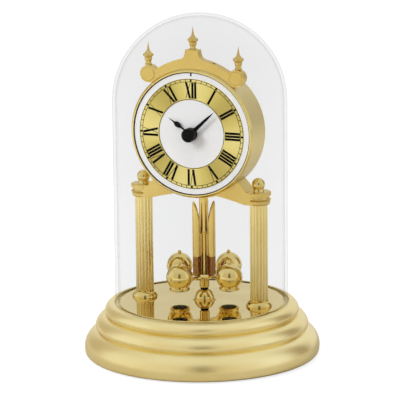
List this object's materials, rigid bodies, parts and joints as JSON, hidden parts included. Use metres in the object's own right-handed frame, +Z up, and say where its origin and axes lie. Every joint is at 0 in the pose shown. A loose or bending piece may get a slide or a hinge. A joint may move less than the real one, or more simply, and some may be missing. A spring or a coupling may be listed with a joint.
{
  "type": "anniversary clock",
  "caption": "Gold-coloured table clock on a round stepped base: drum dial on an arched bridge between fluted columns, turning ball pendulum, all under a lift-off glass dome.",
  "frame": {"origin": "centre of the base where its feet meet the table", "axes": "+Z up through the dome's axis, -Y towards the viewer (the way the dial faces), +X to the viewer's right"},
  "size_m": [0.1522, 0.1522, 0.2222],
  "materials": {
    "base_gold": "satin gold-coloured plating",
    "mirror_gold": "mirror-polished gold-coloured plate",
    "cover_board": "black fibre board",
    "foot_rubber": "soft black rubber",
    "clear_glass": "clear glass",
    "dial_white": "white enamel paint",
    "chapter_gold": "brushed gold-coloured ring",
    "case_plastic": "dark moulded plastic",
    "bush_black": "black bush",
    "door_gold": "satin gold-coloured paint",
    "copper_wire": "enamelled copper wire",
    "steel_bright": "bright zinc",
    "board_green": "green laminate",
    "cell_sleeve": "plain printed sleeve",
    "hand_black": "black lacquer",
    "wheel_brass": "plain brass",
    "wheel_acetal": "ivory acetal",
    "magnet_dark": "ferrite",
    "sleeve_bronze": "polished bronze-brown plating",
    "polished_gold": "polished gold-coloured plating",
    "column_gold": "bright gold-coloured plating",
    "satin_gold": "satin gold-coloured plating"
  },
  "bodies": {
    "stand": {"back_screws": "steel_bright", "ball_nuts": "polished_gold", "base_cover": "cover_board", "base_shell": "base_gold", "battery": "cell_sleeve", "battery_contacts": "steel_bright", "bezel": "satin_gold", "bridge": "satin_gold", "bridge_screws": "steel_bright", "centre_finial": "satin_gold", "chapter_ring": "chapter_gold", "circuit_board": "board_green", "coil": "copper_wire", "cover_screws": "steel_bright", "crest": "satin_gold", "crest_screws": "steel_bright", "dial_nut": "hand_black", "dial_plate": "dial_white", "drive_coil": "copper_wire", "drum_back": "satin_gold", "drum_case": "satin_gold", "foot_pads": "foot_rubber", "guide_bushing": "bush_black", "guide_dome": "polished_gold", "left_column": "column_gold", "left_column_foot": "polished_gold", "left_finial": "satin_gold", "middle_plate": "case_plastic", "movement_case": "case_plastic", "movement_cover": "case_plastic", "movement_screws": "steel_bright", "pendulum_drive": "case_plastic", "quartz_crystal": "steel_bright", "right_column": "column_gold", "right_column_foot": "polished_gold", "right_finial": "satin_gold", "rod_nuts": "steel_bright", "stator": "steel_bright", "tie_rods": "steel_bright", "top_plate": "mirror_gold"},
    "dome": {"glass_dome": "clear_glass"},
    "minute": {"minute_arbor": "wheel_brass", "minute_hand": "hand_black", "hub_cap": "hand_black"},
    "centre": {"centre_wheel": "wheel_acetal"},
    "hour": {"hour_wheel": "wheel_acetal", "hour_hand": "hand_black"},
    "motion": {"motion_wheel": "wheel_acetal", "setting_knob": "case_plastic"},
    "third": {"third_wheel": "wheel_acetal"},
    "seconds": {"seconds_wheel": "wheel_acetal"},
    "door": {"battery_door": "door_gold"},
    "pendulum": {"pendulum_tube": "polished_gold", "pendulum_magnet": "magnet_dark", "pendulum_pivot": "steel_bright", "pendulum_quills": "polished_gold", "pendulum_sleeves": "sleeve_bronze", "pendulum_arms": "polished_gold", "weight_balls": "polished_gold", "weight_cups": "polished_gold"}
  },
  "joints": [
    {"name": "dome_lift", "type": "slide", "parent": "stand", "child": "dome", "axis": [0, 0, 1], "range_m": [0, 0.19]},
    {"name": "minute_turn", "type": "hinge", "parent": "stand", "child": "minute", "pos_m": [0, -0.01, 0.1471], "axis": [0, 1, 0], "continuous": true},
    {"name": "hour_turn", "type": "hinge", "parent": "stand", "child": "hour", "pos_m": [0, -0.01, 0.1471], "axis": [0, 1, 0], "continuous": true},
    {"name": "centre_turn", "type": "hinge", "parent": "stand", "child": "centre", "pos_m": [0, -0.01, 0.1471], "axis": [0, 1, 0], "continuous": true},
    {"name": "motion_turn", "type": "hinge", "parent": "stand", "child": "motion", "pos_m": [0, -0.01, 0.1579], "axis": [0, 1, 0], "continuous": true},
    {"name": "third_turn", "type": "hinge", "parent": "stand", "child": "third", "pos_m": [-0.00846, -0.01, 0.15018], "axis": [0, 1, 0], "continuous": true},
    {"name": "seconds_turn", "type": "hinge", "parent": "stand", "child": "seconds", "pos_m": [-0.01392, -0.01, 0.15669], "axis": [0, 1, 0], "continuous": true},
    {"name": "door_pull", "type": "slide", "parent": "stand", "child": "door", "axis": [0, 1, 0], "range_m": [0, 0.03]},
    {"name": "pendulum_turn", "type": "hinge", "parent": "stand", "child": "pendulum", "pos_m": [0, 0.0049, 0.05], "axis": [0, 0, 1], "range_deg": [-135, 135]}
  ],
  "couplings": [
    {"joint": "hour_turn", "follows": "minute_turn", "ratio": 0.083333},
    {"joint": "motion_turn", "follows": "minute_turn", "ratio": -0.33333},
    {"joint": "third_turn", "follows": "seconds_turn", "ratio": -0.13333},
    {"joint": "centre_turn", "follows": "seconds_turn", "ratio": 0.016667}
  ]
}
